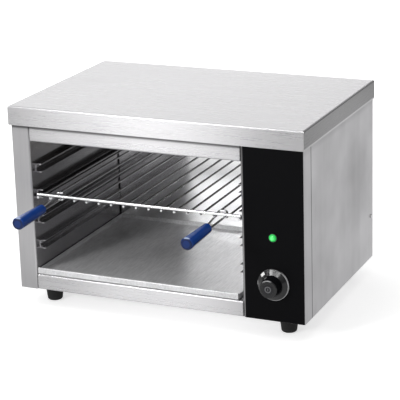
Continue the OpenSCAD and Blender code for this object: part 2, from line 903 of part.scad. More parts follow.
// One handle: a loop of wire welded under the front rod, its two legs held by the grip
module handle(x) {
    leg_end = grip_back - leg_depth;
    neck_y = grip_back + 3;
    loop_half = leg_spread / 2 - loop_r;
    placed(chrome) translate([cavity_mid + x, 0, 0]) {
        for (side = [-1, 1])
            wire_path([
                [side * leg_spread_grip / 2, leg_end, grip_z],
                [side * leg_spread_grip / 2, neck_y, grip_z],
                [side * leg_spread / 2, rod_front - 6, leg_z],
                [side * leg_spread / 2, loop_y, leg_z]
            ], leg_d);
        translate([0, loop_y, leg_z]) rotate([loop_rise, 0, 0]) {
            for (side = [-1, 1])
                translate([side * leg_spread / 2, 0, 0]) {
                    sphere(d = leg_d * 1.02);
                    bar_y(0, 0, 0, loop_leg, leg_d);
                }
            bar_x(loop_leg + loop_r, 0, -loop_half, loop_half, leg_d);
            for (side = [0, 1])
                mirror([side, 0, 0])
                    translate([loop_half, loop_leg, 0])
                        rotate_extrude(angle = 90) translate([loop_r, 0]) circle(d = leg_d);
        }
    }
}

module handle_left() {
    handle(-handle_x);
}

module handle_right() {
    handle(handle_x);
}

// Moulded grip: a slim cone with round edges and two sockets for the legs
module grip(x) {
    edge = 3;
    placed(blue) difference() {
        translate([cavity_mid + x, grip_back, grip_z]) rotate([90, 0, 0]) rotate_extrude() {
            polygon([
                [0, 0], [grip_inner_d / 2 - edge, 0], [grip_inner_d / 2, edge],
                [grip_outer_d / 2, grip_length - edge], [grip_outer_d / 2 - edge, grip_length],
                [0, grip_length]
            ]);
            translate([grip_inner_d / 2 - edge, edge]) circle(r = edge);
            translate([grip_outer_d / 2 - edge, grip_length - edge]) circle(r = edge);
        }
        for (side = [-1, 1])
            bar_y(cavity_mid + x + side * leg_spread_grip / 2, grip_z,
                  grip_back - leg_depth - 0.5, grip_back + cut, leg_d + 2 * fit_gap);
    }
}

module grip_left() {
    grip(-handle_x);
}

module grip_right() {
    grip(handle_x);
}

// ---------------------------------------------------------------- crumb tray

module crumb_tray() {
    mid = sheet / 2;
    lip_top = tray_z + tray_lip_h;
    lip_r = 2;
    roll_w = 5; // width of the rolled edge
    placed(steel) {
        // floor and front lip in one fold, with the lip's edge rolled back and down
        across(tray_left, tray_right) fold([
            [front_y + 30, tray_z + mid],
            [front_y + mid, tray_z + mid],
            [front_y + mid, lip_top - mid],
            [front_y + roll_w - mid, lip_top - mid],
            [front_y + roll_w - mid, lip_top - tray_lip_h / 2]
        ], lip_r);
        slab([tray_left, front_y + 20, tray_z], [tray_right, tray_back, tray_z + sheet]);
        for (x = [tray_left, tray_right - sheet])
            slab([x, front_y + roll_w - mid, tray_z],
                 [x + sheet, tray_back, tray_z + tray_wall_h]);
        slab([tray_left, tray_back - sheet, tray_z], [tray_right, tray_back, tray_z + tray_wall_h]);
    }
}

// ---------------------------------------------------------------- knob and thermostat

// Half section of the knob: radius across, height above the overlay's gap
module knob_section() {
    base = skirt_rim + skirt_cone_h;
    top = knob_length - knob_gap;
    polygon([
        [0, 0], [skirt_d / 2, 0], [skirt_d / 2, skirt_rim - 1], [skirt_d / 2 - 1, skirt_rim],
        [knob_base_d / 2, base], [knob_face_d / 2, top - knob_edge_r],
        [knob_face_d / 2 - knob_edge_r, top], [0, top]
    ]);
    translate([knob_face_d / 2 - knob_edge_r, top - knob_edge_r]) circle(r = knob_edge_r);
}

module knob() {
    base = skirt_rim + skirt_cone_h;
    top = knob_length - knob_gap;
    placed(black) out_of_front(panel_mid, knob_y, knob_z) difference() {
        rotate_extrude() knob_section();
        // hollow underside round the hub
        rotate_extrude() {
            polygon([
                [hub_d / 2, -cut], [skirt_d / 2 - knob_wall, -cut],
                [skirt_d / 2 - knob_wall, 0.5], [knob_base_d / 2 - knob_wall, base - knob_wall],
                [knob_face_d / 2 - 2 * knob_wall, top - 3 * knob_wall],
                [hub_d / 2, top - 3 * knob_wall]
            ]);
            square([bush_thread_d / 2 + 0.6, bush_reach - knob_gap + 0.6]);
        }
        translate([0, 0, -cut]) cylinder(h = shaft_socket + cut, d = shaft_d + 2 * fit_gap);
        translate([0, 0, top - cap_t]) cylinder(h = cap_t + cut, d = cap_d + 2 * fit_gap);
        on_skirt(pointer_t, cut, fit_gap);
    }
}

// Block let into the skirt's cone, from depth below its surface to rise above it
module on_skirt(depth, rise, grow) {
    slope = atan2(skirt_cone_h, (skirt_d - 2 - knob_base_d) / 2);
    mid_r = (skirt_d / 2 - 1 + knob_base_d / 2) / 2;
    size = [pointer_length + 2 * grow, pointer_w + 2 * grow];
    rotate([0, 0, pointer_angle])
        translate([mid_r, 0, skirt_rim + skirt_cone_h / 2])
            rotate([0, slope, 0])
                translate([-size[0] / 2, -size[1] / 2, -depth])
                    cube([size[0], size[1], depth + rise]);
}

module knob_pointer() {
    placed(white) out_of_front(panel_mid, knob_y, knob_z) on_skirt(pointer_t, 0.2, 0);
}

module knob_cap() {
    placed(dark_steel) out_of_front(panel_mid, knob_y, knob_z)
        translate([0, 0, knob_length - knob_gap - cap_t]) cylinder(h = cap_t + 0.4, d = cap_d);
}

module thermostat_shaft() {
    inside = sheet + thermostat_plate + 8;
    placed(steel) bar_y(panel_mid, knob_z, knob_y - shaft_socket + 0.5, front_y + inside, shaft_d);
}

module thermostat_bush() {
    placed(brass) difference() {
        bar_y(panel_mid, knob_z, overlay_y - bush_reach, front_y + sheet + thermostat_plate,
              bush_thread_d);
        bar_y(panel_mid, knob_z, overlay_y - bush_reach - cut, front_y + sheet + thermostat_plate + cut,
              shaft_d + 2 * fit_gap);
    }
}

module thermostat_body() {
    w = thermostat_size[0];
    d = thermostat_size[1];
    h = thermostat_size[2];
    plate_y = front_y + sheet;
    body_y = plate_y + thermostat_plate;
    placed(ceramic) difference() {
        union() {
            slab([panel_mid - w / 2, plate_y, knob_z - 12], [panel_mid + w / 2, body_y, knob_z + 12]);
            slab([panel_mid - w / 2 + 2, body_y, knob_z - h / 2],
                 [panel_mid + w / 2 - 2, body_y + d, knob_z + h / 2]);
        }
        bar_y(panel_mid, knob_z, plate_y - cut, body_y, bush_thread_d + 2 * fit_gap);
        bar_y(panel_mid, knob_z, plate_y - cut, front_y + sheet + thermostat_plate + 9,
              shaft_d + 2 * hole_gap);
        for (side = [-1, 1])
            bar_y(panel_mid + side * thermostat_screw_x, knob_z, plate_y - cut, body_y + 5,
                  screw_d + 2 * fit_gap);
    }
}

module thermostat_screws() {
    placed(steel) for (side = [-1, 1])
        out_of_front(panel_mid + side * thermostat_screw_x, front_y, knob_z) pan_screw(6);
}

// Bulb and the capillary that runs from it to the back of the thermostat
module sensing_bulb() {
    back_y = front_y + sheet + thermostat_plate + thermostat_size[1];
    placed(brass) {
        bar_x(bulb_y, bulb_z, bulb_right - bulb_length, bulb_right, bulb_d);
        wire_path([
            [bulb_right - 1, bulb_y, bulb_z],
            [panel_mid + 20, bulb_y, bulb_z],
            [panel_mid + 20, bulb_y, bulb_z - 90],
            [panel_mid + 12, back_y + 30, knob_z + 10],
            [panel_mid + 12, back_y, knob_z + 10]
        ], capillary_d);
    }
}

module bulb_clips() {
    outer = bulb_d + 2 * fit_gap + 2 * clip_t;
    placed(steel) for (x = [bulb_right - bulb_length + 10, bulb_right - 10 - clip_w])
        difference() {
            union() {
                bar_x(bulb_y, bulb_z, x, x + clip_w, outer);
                slab([x, bulb_y, bulb_z + outer / 2 - clip_t],
                     [x + clip_w, wall_back, bulb_z + outer / 2]);
                slab([x, wall_back - clip_t, bulb_z - outer / 2 - 4],
                     [x + clip_w, wall_back, bulb_z + outer / 2]);
            }
            bar_x(bulb_y, bulb_z, x - cut, x + clip_w + cut, bulb_d + 2 * fit_gap);
        }
}

// ---------------------------------------------------------------- pilot lamp

module lamp_body() {
    ring_d = lens_d + 2 * lamp_bezel_w;
    placed(black) out_of_front(panel_mid, overlay_y, lamp_z) difference() {
        union() {
            cylinder(h = lamp_bezel_t, d = ring_d);
            translate([0, 0, -lamp_barrel_length])
                cylinder(h = lamp_barrel_length + lamp_seat_t, d = lamp_barrel_d);
        }
        translate([0, 0, lamp_seat_t])
            cylinder(h = lamp_bezel_t + cut, d = lens_d + 2 * fit_gap);
    }
}

module lamp_lens() {
    rim_t = lamp_bezel_t - lamp_seat_t;
    dome_r = (lens_d * lens_d / 4 + lamp_dome_h * lamp_dome_h) / (2 * lamp_dome_h);
    placed(green) out_of_front(panel_mid, overlay_y, lamp_z)
        translate([0, 0, lamp_seat_t]) intersection() {
            translate([0, 0, rim_t + lamp_dome_h - dome_r]) sphere(r = dome_r);
            cylinder(h = rim_t + lamp_dome_h + cut, d = lens_d);
        }
}

module lamp_nut() {
    placed(black) out_of_front(panel_mid, front_y + sheet + lamp_nut_t, lamp_z)
        hex_nut(lamp_nut_d, lamp_nut_t, lamp_barrel_d + 2 * fit_gap);
}

// ---------------------------------------------------------------- electrical connection

module terminal_block() {
    w = block_size[0];
    d = block_size[1];
    h = block_size[2];
    placed(white) translate(block_at) difference() {
        slab([-w / 2, -d / 2, 0], [w / 2, d / 2, h]);
        for (i = [0:pole_count - 1]) {
            x = (i - (pole_count - 1) / 2) * pole_pitch;
            bar_y(x, h / 2, -d / 2 - cut, d / 2 + cut, clamp_d + 2 * fit_gap);
            translate([x, 0, h / 2]) cylinder(h = h, d = 5);
        }
    }
}

module terminal_clamps() {
    placed(brass) translate(block_at) for (i = [0:pole_count - 1])
        difference() {
            x = (i - (pole_count - 1) / 2) * pole_pitch;
            bar_y(x, block_size[2] / 2, -block_size[1] / 2 + 2, block_size[1] / 2 - 2, clamp_d);
            bar_y(x, block_size[2] / 2, -block_size[1], block_size[1], lead_d + 2 * fit_gap);
        }
}

// Leads from the terminal block to the thermostat, the lamp and the elements
module wiring() {
    block_y = block_at[1] - block_size[1] / 2 + 2;
    block_z = block_at[2] + block_size[2] / 2;
    body_back = front_y + sheet + thermostat_plate + thermostat_size[1];
    tip_x = cold_x + bead_length + tip_length;
    placed(black) {
        wire_path([
            [panel_mid - pole_pitch, block_y, block_z],
            [panel_mid - pole_pitch, block_y - 30, block_z],
            [panel_mid - 10, body_back + 30, knob_z - 8],
            [panel_mid - 10, body_back, knob_z - 8]
        ], lead_d);
        wire_path([
            [panel_mid, block_y, block_z],
            [panel_mid, block_y - 60, block_z],
            [panel_mid, front_y + 60, lamp_z],
            [panel_mid, overlay_y + lamp_barrel_length, lamp_z]
        ], lead_d);
        wire_path([
            [tip_x, element_ends[0], tube_z],
            [tip_x + 8, element_ends[0], tube_z],
            [tip_x + 8, element_ends[0], knob_z + 60],
            [panel_mid + 4, body_back + 20, knob_z - 6],
            [panel_mid + 4, body_back, knob_z - 6]
        ], lead_d);
        wire_path([
            [tip_x, element_ends[3], tube_z],
            [tip_x + 8, element_ends[3], tube_z],
            [tip_x + 8, element_ends[3] - 10, block_z + 60],
            [panel_mid + pole_pitch, block_y - 20, block_z],
            [panel_mid + pole_pitch, block_y, block_z]
        ], lead_d);
        wire_path([
            [tip_x, element_ends[1], tube_z],
            [tip_x + 5, element_ends[1], tube_z],
            [tip_x + 5, element_ends[2], tube_z],
            [tip_x, element_ends[2], tube_z]
        ], lead_d);
    }
}

module cable_gland() {
    placed(black) out_of_back(panel_mid, rear_y, gland_z) difference() {
        union() {
            translate([0, 0, -gland_inside])
                cylinder(h = gland_inside + gland_flange_t, d = gland_thread_d);
            cylinder(h = gland_flange_t, d = gland_flange_d / cos(30), $fn = 6);
            rotate_extrude() {
                square([gland_dome_d / 2 - gland_dome_r, gland_out]);
                square([gland_dome_d / 2, gland_out - gland_dome_r]);
                translate([gland_dome_d / 2 - gland_dome_r, gland_out - gland_dome_r])
                    intersection() {
                        circle(r = gland_dome_r);
                        square(gland_dome_r);
                    }
            }
        }
        translate([0, 0, -gland_inside - cut])
            cylinder(h = gland_inside + gland_out + 2 * cut, d = cable_d);
    }
}

module gland_nut() {
    placed(black) out_of_back(panel_mid, rear_y - sheet - gland_nut_t, gland_z)
        hex_nut(gland_flange_d - 4, gland_nut_t, gland_thread_d + 2 * fit_gap);
}

// Earth bonding point on the rear panel
module bonding_stud() {
    placed(brass) bar_y(bond_x, bond_z, rear_y - 8, rear_y - 8 + bond_length, bond_d);
}

module bonding_nuts() {
    bore = bond_d + 2 * fit_gap;
    placed(steel) {
        out_of_back(bond_x, rear_y, bond_z) difference() {
            cylinder(h = bond_washer_t, d = bond_washer_d);
            translate([0, 0, -cut]) cylinder(h = bond_washer_t + 2 * cut, d = bore);
        }
        for (y = [rear_y - sheet - bond_nut_t, rear_y + bond_washer_t])
            out_of_back(bond_x, y, bond_z) hex_nut(bond_nut_d, bond_nut_t, bore);
    }
}

// ---------------------------------------------------------------- feet and screws

module foot(at) {
    placed(black) translate([at[0], at[1], 0]) difference() {
        rotate_extrude() {
            polygon([
                [0, 0], [foot_bottom_d / 2 - foot_edge_r, 0], [foot_bottom_d / 2, foot_edge_r],
                [foot_top_d / 2, foot_h - 2], [foot_top_d / 2, foot_h], [0, foot_h]
            ]);
            translate([foot_bottom_d / 2 - foot_edge_r, foot_edge_r]) circle(r = foot_edge_r);
        }
        translate([0, 0, foot_h - stud_depth])
            cylinder(h = stud_depth + cut, d = stud_d + 2 * fit_gap);
    }
}

module foot_front_left() {
    foot(foot_at[0]);
}

module foot_front_right() {
    foot(foot_at[1]);
}

module foot_rear_left() {
    foot(foot_at[2]);
}

module foot_rear_right() {
    foot(foot_at[3]);
}

module foot_studs() {
    placed(steel) for (at = foot_at)
        translate([at[0], at[1], foot_h - stud_depth + 0.3])
            cylinder(h = stud_depth - 0.3 + sheet + stud_top, d = stud_d);
}

module foot_nuts() {
    placed(steel) for (at = foot_at)
        translate([at[0], at[1], floor_z]) hex_nut(nut_d, nut_t, stud_d + 2 * fit_gap);
}

module lid_screws() {
    placed(steel) for (x = [-lid_screw_x, 0, lid_screw_x])
        out_of_back(x, rear_y + sheet, lid_screw_z) pan_screw(8);
}

module rear_screws() {
    placed(steel) for (x = [-base_screw_x, base_screw_x])
        out_of_back(x, rear_y, base_screw_z) pan_screw(8);
}

module side_screws() {
    placed(steel) for (side = [-1, 1])
        translate([side * side_x, side_screw_y, side_screw_z]) rotate([0, side * 90, 0]) pan_screw(8);
}

lid();
left_side_panel();
right_side_panel();
rear_panel();
base_plate();
front_fascia();
control_panel();
control_overlay();
liner_left();
liner_right();
liner_back();
runners_left();
runners_right();
reflector();
tray_shelf();
top_insulation();
heat_shield();
heating_element_front();
heating_element_rear();
element_hangers();
element_bushes();
terminal_insulators();
terminal_studs();
wire_rack();
handle_left();
handle_right();
grip_left();
grip_right();
crumb_tray();
knob();
knob_cap();
knob_pointer();
thermostat_shaft();
thermostat_body();
thermostat_bush();
thermostat_screws();
sensing_bulb();
bulb_clips();
lamp_lens();
lamp_body();
lamp_nut();
terminal_block();
terminal_clamps();
wiring();
cable_gland();
gland_nut();
bonding_stud();
bonding_nuts();
foot_front_left();
foot_front_right();
foot_rear_left();
foot_rear_right();
foot_studs();
foot_nuts();
lid_screws();
side_screws();
rear_screws();
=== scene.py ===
import json
import math

import bpy
import bmesh
from mathutils import Matrix, Vector


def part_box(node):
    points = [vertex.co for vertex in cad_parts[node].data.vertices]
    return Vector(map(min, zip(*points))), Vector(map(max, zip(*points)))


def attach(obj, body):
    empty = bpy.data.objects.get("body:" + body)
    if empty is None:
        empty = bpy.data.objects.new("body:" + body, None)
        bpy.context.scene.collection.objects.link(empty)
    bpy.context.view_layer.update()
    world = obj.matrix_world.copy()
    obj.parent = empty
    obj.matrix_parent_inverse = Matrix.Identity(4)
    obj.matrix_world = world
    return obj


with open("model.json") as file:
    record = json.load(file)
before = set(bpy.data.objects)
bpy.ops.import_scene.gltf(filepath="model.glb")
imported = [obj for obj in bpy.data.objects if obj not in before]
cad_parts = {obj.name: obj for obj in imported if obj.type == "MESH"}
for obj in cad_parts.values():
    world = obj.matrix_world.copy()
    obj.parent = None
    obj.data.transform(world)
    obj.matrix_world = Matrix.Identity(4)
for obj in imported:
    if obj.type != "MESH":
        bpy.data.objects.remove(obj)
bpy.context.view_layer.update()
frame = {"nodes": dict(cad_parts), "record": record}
nodes = frame["nodes"]

MM = 0.001
ROW_Y = 0.0555  # the cabinet's middle lies this far behind the shared frame's origin


def in_mm(box):
    """A box's lower corner, upper corner and middle in millimetres"""
    lo, hi = box[0] / MM, box[1] / MM
    return lo, hi, (lo + hi) / 2


# ---------------------------------------------------------------- camera

YAW, PITCH, ROLL = math.radians(23.79), math.radians(16.39), math.radians(-1.56)
CAMERA_AT = Vector((1.207, -2.655 + ROW_Y, 1.115))
SENSOR = 36.0
PICTURE = 400.0  # the photograph's width and height in pixels
FOCAL_PX = 1602.0
SHIFT_PX = (14.0, -40.0)
CLIP_NEAR, CLIP_FAR = 0.05, 60.0


def make_camera():
    """The camera that was fitted to the photograph, with a little roll and a small lens shift"""
    forward = Vector((-math.sin(YAW) * math.cos(PITCH), math.cos(YAW) * math.cos(PITCH),
                      -math.sin(PITCH)))
    level = Vector((math.cos(YAW), math.sin(YAW), 0.0))
    above = level.cross(forward)
    right = math.cos(ROLL) * level + math.sin(ROLL) * above
    up = math.cos(ROLL) * above - math.sin(ROLL) * level
    data = bpy.data.cameras.new("camera")
    data.sensor_width = SENSOR
    data.lens = FOCAL_PX / PICTURE * SENSOR
    data.shift_x = -SHIFT_PX[0] / PICTURE
    data.shift_y = SHIFT_PX[1] / PICTURE
    data.clip_start, data.clip_end = CLIP_NEAR, CLIP_FAR
    camera = bpy.data.objects.new("camera", data)
    turn = Matrix((right, up, -forward)).transposed().to_4x4()
    camera.matrix_world = Matrix.Translation(CAMERA_AT) @ turn
    bpy.context.scene.collection.objects.link(camera)
    bpy.context.scene.camera = camera


# ---------------------------------------------------------------- node helpers

NUMBER_RESULTS = ("DOT_PRODUCT", "LENGTH", "DISTANCE")  # vector operations that give a number


class Graph:
    """The node tree of one material or world, built from short calls"""

    def __init__(self, name, world=False):
        self.owner = (bpy.data.worlds if world else bpy.data.materials).new(name)
        self.owner.use_nodes = True
        self.tree = self.owner.node_tree
        self.tree.nodes.clear()
        self.output = self.add("OutputWorld" if world else "OutputMaterial")

    def add(self, kind, props=None, **sockets):
        """A node with its properties and inputs, where an input's name has _ for each space"""
        node = self.tree.nodes.new("ShaderNode" + kind)
        for key, value in (props or {}).items():
            setattr(node, key, value)
        for key, value in sockets.items():
            self.put(node.inputs[key.replace("_", " ")], value)
        return node

    def put(self, socket, value):
        """Links an input to another node's output, or sets its value"""
        if isinstance(value, bpy.types.NodeSocket):
            self.tree.links.new(value, socket)
        elif isinstance(value, (tuple, list)) and socket.type == "RGBA":
            socket.default_value = (*value[:3], 1.0)
        else:
            socket.default_value = value

    def math(self, operation, *values):
        node = self.add("Math", {"operation": operation})
        for socket, value in zip(node.inputs, values):
            self.put(socket, value)
        return node.outputs[0]

    def vector(self, operation, a, b=(0, 0, 0), scale=None):
        node = self.add("VectorMath", {"operation": operation})
        self.put(node.inputs[0], a)
        self.put(node.inputs[1], b)
        if scale is not None:
            self.put(node.inputs["Scale"], scale)
        return node.outputs["Value" if operation in NUMBER_RESULTS else "Vector"]

    def axis(self, vector, name):
        """The X, Y or Z of a vector"""
        return self.add("SeparateXYZ", Vector=vector).outputs[name]

    def millimetres(self):
        """The point on the piece in millimetres, and the normal there"""
        coords = self.add("TexCoord").outputs
        return self.vector("SCALE", coords["Object"], scale=1000.0), coords["Normal"]

    def around(self, at, middle):
        """The offset from a middle, within the plane of the cabinet's front"""
        return self.vector("MULTIPLY", self.vector("SUBTRACT", at, middle), (1.0, 0.0, 1.0))

    def noise(self, at, scale, detail=2.0, roughness=0.5, distortion=0.0):
        node = self.add("TexNoise", Vector=at, Scale=scale, Detail=detail, Roughness=roughness,
                        Distortion=distortion)
        return node.outputs["Fac"]

    def sway(self, middle, *terms):
        """middle plus each (factor, amount) as (factor - 0.5) * amount"""
        value = middle
        for factor, amount in terms:
            value = self.math("MULTIPLY_ADD", self.math("SUBTRACT", factor, 0.5), amount, value)
        return value

    def ramp(self, factor, low, high, start=0.0, end=1.0):
        """start where factor is low, end where it is high, and clamped beyond them"""
        node = self.add("MapRange", {"clamp": True}, Value=factor, From_Min=low, From_Max=high,
                        To_Min=start, To_Max=end)
        return node.outputs["Result"]

    def both(self, a, b):
        """The product of two factors"""
        return self.math("MULTIPLY", a, b)

    def mix(self, factor, a, b, blend="MIX"):
        node = self.add("Mix", {"data_type": "RGBA", "blend_type": blend}, Factor=factor)
        self.put(node.inputs[6], a)
        self.put(node.inputs[7], b)
        return node.outputs[2]

    def shade(self, colour, amount):
        """colour times the number amount"""
        return self.vector("SCALE", colour, scale=amount)

    def dim(self, colour, where, share):
        """colour, down to a share of itself where the factor where is 1"""
        return self.shade(colour, self.ramp(where, 0.0, 1.0, 1.0, share))

    def bump(self, height, distance, strength):
        node = self.add("Bump", Height=height, Distance=distance, Strength=strength)
        return node.outputs["Normal"]

    def rays(self):
        """Two factors: 1 for rays from the camera, and 1 for rays off or through a piece"""
        path = self.add("LightPath").outputs
        return path["Is Camera Ray"], self.math("MAXIMUM", path["Is Glossy Ray"],
                                                path["Is Transmission Ray"])

    def finish(self, shader):
        """Links the shader to the output, and gives the finished material or world"""
        self.put(self.output.inputs[0], shader.outputs[0])
        return self.owner

    def principled(self, **sockets):
        return self.finish(self.add("BsdfPrincipled", **sockets))


# ---------------------------------------------------------------- brushed sheets

# Places in millimetres of the shared frame
LID_Z = 354.0  # lower edge of the lid's skirt
POST_X = -250.5  # joint between the post and the fascia
PANEL_X = 170.5  # joint between the fascia and the control panel
HEATED = (265.0, 330.0)  # heights between which the heat's colour sets in
PATCH_AT = (287.0, 150.0, 215.0)  # middle of the painted dark reflection on the right side
PATCH_REACH = (20.0, 110.0)  # distances from it between which the patch ends
PATCH_RAGGED = 60.0  # how far its edge wanders

PATCH_SHARE = 0.76  # share of colour left in it
GRAIN_PULL = 0.985  # share of the way along the grain that the brushing's noise leaves out
PAINTED_LINE_CORE = 0.25  # share of a painted line's reach where it has its full depth
FACING = (0.80, 0.97)  # cosines between which a face turns to a direction
HEM = (2.2, 3.4)  # heights above LID_Z between which the lid's hem ends
FRONT_SKIRT, RIGHT_SKIRT = 0.90, 0.42  # shares of colour left on the lid's skirts by their painted shade
STRAW = (0.90, 0.84, 0.76)


def painted_line(axis, place, reach, share):
    """A painted line across an axis in a finish, painted shade where the share is below 1 and
    painted highlight where it is above: where it lies, how wide it is and the colour left in it
    """
    return axis, place, reach, share


def brushed(name, grain, base, rough, aniso, streak, cloud, relief=0.25, metal=1.0, tint=None,
            painted_lines=()):
    """Brushed sheet steel with its grain along the vector grain, as far as each face lets it run so

    streak and cloud say how much the tone changes across the grain and over the whole sheet, and
    relief says how deep the brushing is. tint is one of the functions below, and painted_lines
    lists lines of painted shade and painted highlight.
    """
    g = Graph(name)
    at, normal = g.millimetres()
    across = g.vector("NORMALIZE", g.vector("CROSS_PRODUCT", normal, grain))
    along = g.vector("CROSS_PRODUCT", across, normal)
    left_out = g.math("MULTIPLY", g.vector("DOT_PRODUCT", at, along), GRAIN_PULL)
    pulled = g.vector("SUBTRACT", at, g.vector("SCALE", along, scale=left_out))
    fine = g.noise(pulled, scale=1.3, detail=3.0, roughness=0.6)
    broad = g.noise(pulled, scale=0.22, detail=3.0, roughness=0.55)
    band = g.noise(pulled, scale=0.05)
    soft = g.noise(at, scale=0.011)
    level = g.sway(1.0, (fine, streak), (broad, streak), (band, 1.2 * streak), (soft, 2.0 * cloud))
    colour = g.shade(base, level)
    if tint:
        colour = tint(g, at, normal, colour)
    # Each painted line darkens the colour as painted shade, or lightens it as painted highlight
    # where its share is above 1
    for axis, place, reach, share in painted_lines:
        away = g.math("ABSOLUTE", g.math("SUBTRACT", g.axis(at, axis), place))
        colour = g.shade(colour, g.ramp(away, PAINTED_LINE_CORE * reach, reach, start=share))
    return g.principled(
        Base_Color=colour, Metallic=metal, Anisotropic=aniso, Tangent=across,
        Roughness=g.sway(rough, (fine, 0.08), (broad, 0.06), (soft, 0.03)),
        Normal=g.bump(fine, distance=0.00002, strength=relief))


def painted_skirt_shade(g, at, normal, colour):
    """Painted shade on the lid's skirts, darker than its top, the right one most of all; its hem is
    left out and stays light as a painted highlight
    """
    turning, turned = FACING
    front = g.ramp(g.axis(normal, "Y"), -turned, -turning, start=FRONT_SKIRT)
    right = g.ramp(g.axis(normal, "X"), turning, turned)
    above_hem = g.ramp(g.axis(at, "Z"), LID_Z + HEM[0], LID_Z + HEM[1])
    return g.dim(g.shade(colour, front), g.both(right, above_hem), share=RIGHT_SKIRT)


def painted_dark_reflection(g, at, normal, colour):
    """A wide painted dark reflection on the right side, with a ragged edge"""
    away = g.sway(g.vector("DISTANCE", at, PATCH_AT), (g.noise(at, scale=0.02), PATCH_RAGGED))
    return g.shade(colour, g.ramp(away, *PATCH_REACH, start=PATCH_SHARE))


def scratched(g, at, normal, colour):
    """Wiping scratches, most of them from the front of the tray to its back"""
    long_drawn = g.vector("MULTIPLY", at, (1.0, 0.10, 1.0))
    drawn = g.vector("MULTIPLY", at, (1.0, 0.4, 1.0))
    fine = g.noise(long_drawn, scale=0.40, detail=4.0, roughness=0.70, distortion=0.4)
    broad = g.noise(drawn, scale=0.035, detail=3.0, roughness=0.6)
    return g.shade(colour, g.sway(1.0, (fine, 0.90), (broad, 0.40)))


def heat_tint(g, at, normal, colour):
    """Faint straw colour on the sheets nearest to the heating elements"""
    high = g.ramp(g.axis(at, "Z"), *HEATED)
    patchy = g.ramp(g.noise(at, scale=0.02, detail=3.0), 0.3, 0.7, start=0.3, end=0.8)
    return g.mix(g.both(high, patchy), colour, STRAW, "MULTIPLY")


def sheet_finishes():
    """The finishes of the steel sheets: those of two slots, and those of single nodes"""
    crosswise, upright, lengthwise = (1.0, 0.03, 0.0), (0.02, 0.0, 1.0), (0.02, 1.0, 0.0)
    panel_back = in_mm(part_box("control_panel"))[1].y
    runner_front = in_mm(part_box("runners_left"))[0].y
    # Painted shade under the lid's lower edge: a dark line close under it and a wide soft band
    # below
    lid_shade = painted_line("Z", LID_Z, reach=14.0, share=0.84)
    painted_shade_under_lid = (painted_line("Z", LID_Z - 3.0, reach=4.4, share=0.28), lid_shade)
    # Painted shade in the gaps at the control panel's wrap, beside the black overlay, and at the
    # ends of the fascia and the rail (ends)
    painted_shade_at_wrap = (painted_line("Y", panel_back, reach=2.6, share=0.45), lid_shade)
    painted_shade_by_overlay = (painted_line("X", PANEL_X + 5.5, reach=5.0, share=0.07),)
    ends = (painted_line("X", POST_X, reach=1.8, share=0.30), painted_line("X", PANEL_X, reach=2.8, share=0.30))
    # Painted highlight on the runners' front ends
    painted_highlight_at_runner_ends = (painted_line("Y", runner_front, reach=2.4, share=2.7),)
    # Base tones differ from part to part as painted light: the fascia and the rail are darker
    # copies of the outer steel, the right side and the control panel lighter ones
    front = dict(grain=crosswise, rough=0.28, aniso=1.0, streak=0.045, cloud=0.04, relief=0.12)
    side = dict(grain=upright, base=(0.60, 0.595, 0.608), rough=0.30, aniso=1.0)
    # The cavity's side sheets, shelf, reflector and runners: a much darker copy of the inner steel,
    # partly heat stain, partly painted shade
    stain_and_shade = dict(grain=lengthwise, base=(0.33, 0.325, 0.335), rough=0.20, aniso=0.3,
                   streak=0.16, cloud=0.10, metal=0.9, tint=heat_tint)
    by_slot = {
        "steel_outer": brushed("steel_outer", crosswise, (0.525, 0.52, 0.53), rough=0.28, aniso=1.0,
                               streak=0.03, cloud=0.03, relief=0.06, tint=painted_skirt_shade),
        "steel_inner": brushed("steel_inner", crosswise, (0.90, 0.90, 0.905), rough=0.12, aniso=0.8,
                               streak=0.04, cloud=0.03, relief=0.10, metal=0.95, tint=heat_tint),
    }
    by_node = {
        "front_fascia": brushed("steel_outer_fascia", base=(0.462, 0.457, 0.467),
                                painted_lines=painted_shade_under_lid + ends, **front),
        "base_plate": brushed("steel_outer_rail", base=(0.50, 0.495, 0.505), painted_lines=ends, **front),
        "left_side_panel": brushed("steel_outer_upright", upright, (0.56, 0.555, 0.566), rough=0.30,
                                   aniso=1.0, streak=0.10, cloud=0.10, painted_lines=painted_shade_under_lid),
        "right_side_panel": brushed("steel_outer_side", streak=0.12, cloud=0.26, tint=painted_dark_reflection,
                                    painted_lines=painted_shade_at_wrap, **side),
        "control_panel": brushed("steel_outer_panel", streak=0.10, cloud=0.20,
                                 painted_lines=painted_shade_at_wrap + painted_shade_by_overlay, **side),
        "crumb_tray": brushed("steel_tray", crosswise, (0.68, 0.68, 0.69), rough=0.30, aniso=0.8,
                              streak=0.06, cloud=0.08, metal=0.28, tint=scratched),
    }
    cavity = brushed("steel_inner_long", **stain_and_shade)
    runners = brushed("steel_runners", painted_lines=painted_highlight_at_runner_ends, **stain_and_shade)
    by_node.update(dict.fromkeys(("liner_left", "liner_right", "tray_shelf", "reflector"), cavity))
    by_node.update(dict.fromkeys(("runners_left", "runners_right"), runners))
    return by_slot, by_node


# ---------------------------------------------------------------- other metals and minerals

RACK_FRONT = -160.0 + ROW_Y / MM  # just behind the rack's front rod and the handles' loops
DARKENED_FROM = 4.0  # the darkening, partly heat stain and partly painted shade, is full this far behind it


